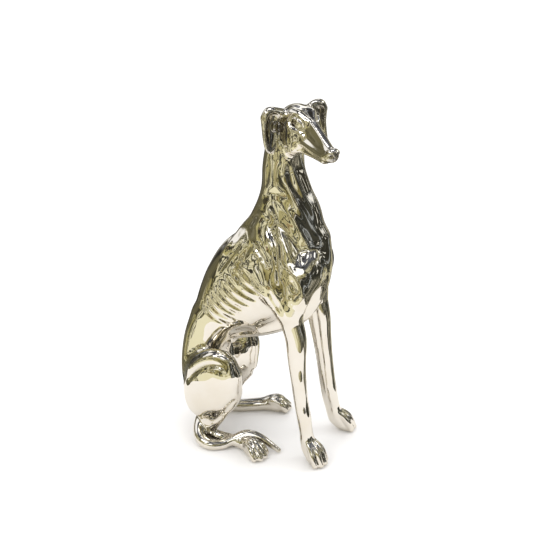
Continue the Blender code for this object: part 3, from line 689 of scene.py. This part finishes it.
def plated_dog():
    """The finished dog: its mesh drawn off the clay, settled on its surface and put in the part's frame."""
    clay = model_greyhound(FINE_STEP)
    mesh = thin_out(quad_mesh("greyhound_plated", *clay.skin()), FACETS)
    cut_level(mesh, FLOOR)
    points = np.empty(3 * len(mesh.vertices), np.float32)
    mesh.vertices.foreach_get("co", points)
    points = points.reshape(-1, 3).astype(float)
    settle(clay, points)
    slope = slope_at(clay, points, clay.step)
    normals = slope / np.linalg.norm(slope, axis=1, keepdims=True)
    # Painted shade, and tarnish in the creases: how hollow and how shut in each point is, and where the ear
    # hollows and the nose are painted dark.
    tarnish_and_shade_maps = {"crease": hollow_at(clay, points, normals, CREASE_REACH),
            "shut_in": shut_in_at(clay, points, normals, SHUT_IN_REACHES),
            "ear_and_nose_shade": ear_and_nose_shade_at(points)}
    low, high = points.min(0), points.max(0)
    shift = np.array(((low[0] + high[0]) / 2, (low[1] + high[1]) / 2, FLOOR))
    mesh.vertices.foreach_set("co", ((points - shift) * MM).astype(np.float32).ravel())
    mesh.polygons.foreach_set("use_smooth", np.ones(len(mesh.polygons), bool))
    for name, values in tarnish_and_shade_maps.items():
        layer = mesh.attributes.new(name, "FLOAT", "POINT")
        layer.data.foreach_set("value", values.astype(np.float32))
    mesh.update()
    dog = bpy.data.objects.new("greyhound_plated", mesh)
    bpy.context.scene.collection.objects.link(dog)
    return dog, shift


class Wire:
    """A socket that can stand in a sum: each operator adds one Math node."""

    def __init__(self, tree, socket):
        self.tree = tree
        self.socket = socket

    def math(self, operation, *values, clamp=False):
        node = self.tree.nodes.new("ShaderNodeMath")
        node.operation = operation
        node.use_clamp = clamp
        for slot, value in zip(node.inputs, values):
            put(self.tree, slot, value)
        return Wire(self.tree, node.outputs[0])

    def __add__(self, other):
        return self.math("ADD", self, other)

    def __radd__(self, other):
        return self.math("ADD", other, self)

    def __sub__(self, other):
        return self.math("SUBTRACT", self, other)

    def __rsub__(self, other):
        return self.math("SUBTRACT", other, self)

    def __mul__(self, other):
        return self.math("MULTIPLY", self, other)

    def __rmul__(self, other):
        return self.math("MULTIPLY", other, self)

    def __abs__(self):
        return self.math("ABSOLUTE", self)

    def clamp(self):
        return self.math("ADD", self, 0.0, clamp=True)

    def step(self, low, high):
        """0 below low, 1 above high, with a smooth way between: t^2 (3 - 2 t)."""
        t = self.math("MULTIPLY", self - low, 1.0 / (high - low), clamp=True)
        return t * t * (3.0 - 2.0 * t)


def put(tree, slot, value):
    """Links a wire to a socket, or sets the socket's own value."""
    if isinstance(value, Wire):
        tree.links.new(value.socket, slot)
    else:
        slot.default_value = value


class Tree:
    """A node tree that is built by calls: add(type, sockets, settings) returns the new node's outputs."""

    def __init__(self, owner):
        owner.use_nodes = True
        self.tree = owner.node_tree
        self.nodes = self.tree.nodes
        self.nodes.clear()

    def add(self, kind, sockets=None, settings=None, stops=()):
        node = self.nodes.new("ShaderNode" + kind)
        for name, value in (settings or {}).items():
            setattr(node, name, value)
        for n, (place, colour) in enumerate(stops):
            ramp = node.color_ramp.elements
            stop = ramp[n] if n < 2 else ramp.new(place)
            stop.position = place
            stop.color = tuple(colour) + (1.0,)
        for name, value in (sockets or {}).items():
            put(self.tree, node.inputs[name], value)
        return {out.name: Wire(self.tree, out) for out in reversed(list(node.outputs)) if out.enabled}

    def mix(self, share, first, second):
        """A colour between first and second."""
        node = self.nodes.new("ShaderNodeMix")
        node.data_type = "RGBA"
        for slot, value in zip(MIX_INPUTS, (share, first, second)):
            put(self.tree, node.inputs[slot], value)
        return Wire(self.tree, node.outputs[MIX_RESULT])

    def noise(self, place, scale, detail, **more):
        """Soft noise about 0.5; more holds values for its other sockets."""
        return self.add("TexNoise", {"Vector": place, "Scale": scale, "Detail": detail, **more})["Fac"]

    def attribute(self, name):
        return self.add("Attribute", settings={"attribute_name": name})["Fac"]

    def finish(self, sockets):
        """Ends a material with one principled shader."""
        shader = self.add("BsdfPrincipled", sockets)["BSDF"]
        self.add("OutputMaterial", {"Surface": shader})


def silver_plate():
    """Bright plating: the casting's long soft waves, fine polishing marks, tarnish and painted shade in
    hollows, and painted shade in the ear hollows and on the nose.
    """
    material = bpy.data.materials.new("silver_plate")
    t = Tree(material)
    place = t.add("TexCoord")["Object"]
    cloud = t.noise(place, 16.0, 3.0, Roughness=0.6)
    grime_and_shade_patches = t.noise(place, 120.0, 4.0, Roughness=0.65).step(0.35, 0.65)
    wave = t.noise(place, 17.0, 0.0)
    marks = t.noise(place, 420.0, 2.0, Roughness=0.5)
    # Painted shade in creases and recesses. The crease value darkens the silver partly as tarnish and partly
    # as painted shade. The shut_in value darkens it as painted shade, like ambient occlusion.
    crease = t.attribute("crease").step(0.05, 0.32)
    shut_in = t.attribute("shut_in").step(0.45, 0.95)
    tarnish_and_shade = (crease * (0.25 + grime_and_shade_patches * 0.45) + shut_in * 0.6).clamp()
    silver = t.mix(cloud.step(0.35, 0.7), BRIGHT_SILVER, WARM_SILVER)
    # Painted shade: the hollows of the ears and the nose are darkened toward near black.
    colour = t.mix(t.attribute("ear_and_nose_shade") * 0.48, t.mix(tarnish_and_shade, silver, TARNISH_AND_SHADE), EAR_AND_NOSE_SHADE)
    rough = 0.02 + cloud.step(0.4, 0.75) * 0.025 + tarnish_and_shade * 0.16
    soft = t.add("Bump", {"Height": wave, "Strength": 0.6, "Distance": 0.004})["Normal"]
    fine = t.add("Bump", {"Height": marks, "Strength": 0.12, "Distance": 0.0001, "Normal": soft})["Normal"]
    t.finish({"Base Color": colour, "Metallic": 1.0, "Roughness": rough, "Normal": fine})
    return material


def paper(name, across, along, turn, height, material):
    """A level sheet; across and along are its lowest and highest reach on its two sides, before its turn."""
    c, s = math.cos(math.radians(turn)), math.sin(math.radians(turn))
    corners = [(across[0], along[0]), (across[1], along[0]), (across[1], along[1]), (across[0], along[1])]
    mesh = bpy.data.meshes.new(name)
    mesh.from_pydata([(u * c - v * s, u * s + v * c, height) for u, v in corners], [], [(0, 1, 2, 3)])
    sheet = bpy.data.objects.new(name, mesh)
    bpy.context.scene.collection.objects.link(sheet)
    sheet.data.materials.append(material)
    return sheet


def studio_floor():
    """A plain pale floor to the camera; the plating sees only two smaller sheets round the statue's feet."""
    pale = bpy.data.materials.new("pale_paper")
    t = Tree(pale)
    cloud = t.noise(t.add("TexCoord")["Object"], 1.2, 2.0)
    t.finish({"Base Color": t.mix(cloud, *FLOOR_TONES), "Roughness": PAPER_ROUGHNESS})
    floor = paper("studio_floor", FLOOR_REACH, FLOOR_REACH, 0.0, 0.0, pale)
    floor.visible_glossy = False
    for name, (across, along, turn, height, tone) in SHEETS.items():
        plain = bpy.data.materials.new(name)
        Tree(plain).finish({"Base Color": tone, "Roughness": PAPER_ROUGHNESS})
        sheet = paper(name, across, along, turn, height, plain)
        sheet.visible_camera = False
        sheet.visible_diffuse = False
        sheet.visible_shadow = False


def studio_room():
    """The light round the statue: plain white, and to the plating a made-up room.

    The room is olive to the left, dark to the right, pale behind and grey above, with creams, browns and
    thin dark lines all through it.
    """
    world = bpy.data.worlds.new("studio_room")
    bpy.context.scene.world = world
    t = Tree(world)
    way = t.add("TexCoord")["Generated"]
    parts = t.add("SeparateXYZ", {"Vector": way})
    x, y, up = parts["X"], parts["Y"], parts["Z"]
    right = x * TURN_COS + y * TURN_SIN
    behind = y * TURN_COS - x * TURN_SIN

    def toward(back, side, height=0.0):
        """How nearly a way points to this far behind, to the right and up."""
        return behind * back + right * side + up * height

    def noise(scale, detail, offset, stretch=(1.0, 1.0, 1.0), swirl=0.0):
        moved = t.add("Mapping", {"Vector": way, "Location": offset, "Scale": stretch})["Vector"]
        return t.noise(moved, scale, detail, Distortion=swirl)

    uneven = up + (noise(1.7, 2.0, (0.3, 0.1, 0.8)) - 0.5) * 0.45
    room = t.add("ValToRGB", {"Fac": uneven * 0.5 + 0.5}, stops=ROOM_TONES)["Color"]
    cream = noise(2.2, 1.0, (3.1, 0.4, 1.7), swirl=1.6).step(0.47, 0.58) * (1.0 - up.step(0.5, 0.8))
    rust = noise(5.5, 1.0, (0.2, 4.4, 2.9)).step(0.64, 0.72) * (1.0 - up.step(0.3, 0.6))

    streak = noise(2.4, 2.5, (1.0, 2.0, 3.0), (2.6, 2.6, 0.7))
    pale = t.mix(streak.step(0.48, 0.62), (0.06, 0.06, 0.07, 1), (0.34, 0.36, 0.43, 1))
    back = toward(0.9, -0.3, 0.3).step(0.45, 0.80)
    brown = t.mix(streak.step(0.46, 0.62), (0.06, 0.06, 0.05, 1), (0.36, 0.34, 0.28, 1))
    low_right = right.step(0.02, 0.22) * (1.0 - up.step(-0.40, -0.25)) * (1.0 - behind.step(0.25, 0.50))
    dark = t.mix(streak.step(0.50, 0.62), (0.035, 0.035, 0.03, 1), (0.32, 0.34, 0.35, 1))
    ahead = toward(-0.42, 0.91).step(0.38, 0.62) * (1.0 - abs(up - 0.02).step(0.30, 0.46))
    layers = [(cream * 0.8, CREAM), (rust * 0.7, RUST), (back * 0.85, pale), (low_right * 0.9, brown),
              (ahead * 0.95, dark)]

    for scale, place in VEINS:
        vein = noise(scale, 0.5, place, swirl=2.2) - 0.5
        layers.append(((1.0 - abs(vein).step(0.014, 0.040)) * 0.9, (0.035, 0.037, 0.032, 1)))
    speck = noise(5.0, 1.5, (2.0, 7.0, 5.0), swirl=0.8)
    layers.append((speck.step(0.57, 0.64) * 0.85, (0.04, 0.038, 0.032, 1)))
    layers.append(((1.0 - speck.step(0.32, 0.38)) * 0.8, (0.90, 0.88, 0.80, 1)))

    for strength, colour, middle, (start, full) in ROOM_PATCHES:
        layers.append((toward(*middle).step(start, full) * strength, colour))
    panes = noise(2.6, 0.0, (0.4, 0.0, 0.3)).step(0.60, 0.63) * up.step(0.25, 0.4)
    far_wall = toward(0.95, 0.20).step(0.62, 0.82) * (1.0 - up.step(0.20, 0.45))
    plaster = t.mix(streak.step(0.42, 0.60), (0.17, 0.16, 0.12, 1), (0.82, 0.80, 0.74, 1))
    edge = toward(0.906, 0.0, -0.423).step(0.87, 0.95)
    layers += [(panes, LAMPLIGHT), (far_wall * 0.85, plaster), (edge * 0.9, (0.05, 0.05, 0.045, 1))]
    for share, colour in layers:
        room = t.mix(share, room, colour)

    glow = t.add("Background", {"Color": room})["Background"]
    white = t.mix(t.add("LightPath")["Is Camera Ray"], WHITE, BACKDROP)
    plain = t.add("Background", {"Color": white})["Background"]
    seen = t.add("LightPath")["Is Glossy Ray"]
    t.add("OutputWorld", {"Surface": t.add("MixShader", {0: seen, 1: plain, 2: glow})["Shader"]})


def soft_light(name, place, size, power, colour):
    """A rectangular lamp that looks at LAMP_TARGET."""
    light = bpy.data.lights.new(name, "AREA")
    light.shape = "RECTANGLE"
    light.size, light.size_y = size
    light.energy = power
    light.color = colour
    lamp = bpy.data.objects.new(name, light)
    bpy.context.scene.collection.objects.link(lamp)
    lamp.location = place
    lamp.rotation_euler = (Vector(LAMP_TARGET) - Vector(place)).to_track_quat("-Z", "Y").to_euler()


def photo_camera(shift, azimuth, elevation, distance, focal, target):
    """The camera, round the clay's own point target; focal is in pixels of the frame."""
    a, e = math.radians(azimuth), math.radians(elevation)
    back = np.array((math.sin(a) * math.cos(e), -math.cos(a) * math.cos(e), math.sin(e)))
    aim = (np.array(target) - shift) * MM
    data = bpy.data.cameras.new("photo_camera")
    data.sensor_width = SENSOR
    data.lens = focal * SENSOR / FRAME_PIXELS
    data.clip_end = CLIP_END
    camera = bpy.data.objects.new("photo_camera", data)
    bpy.context.scene.collection.objects.link(camera)
    camera.location = aim + back * distance * MM
    camera.rotation_euler = Vector(-back).to_track_quat("-Z", "Y").to_euler()
    bpy.context.scene.camera = camera


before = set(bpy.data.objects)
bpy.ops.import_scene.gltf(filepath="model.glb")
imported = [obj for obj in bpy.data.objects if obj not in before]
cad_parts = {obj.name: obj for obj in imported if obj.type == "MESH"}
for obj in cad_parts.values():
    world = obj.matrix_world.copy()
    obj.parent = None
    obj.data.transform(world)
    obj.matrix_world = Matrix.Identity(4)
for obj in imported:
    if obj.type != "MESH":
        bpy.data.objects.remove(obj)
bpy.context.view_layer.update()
dog, shift = plated_dog()
dog.data.materials.append(silver_plate())
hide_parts("greyhound")
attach(dog, "root")
studio_floor()
studio_room()
photo_camera(shift, **CAMERA)
for name, values in LAMPS.items():
    soft_light(name, *values)
bpy.context.scene.view_settings.view_transform = "Standard"
bpy.context.scene.view_settings.look = "Medium High Contrast"
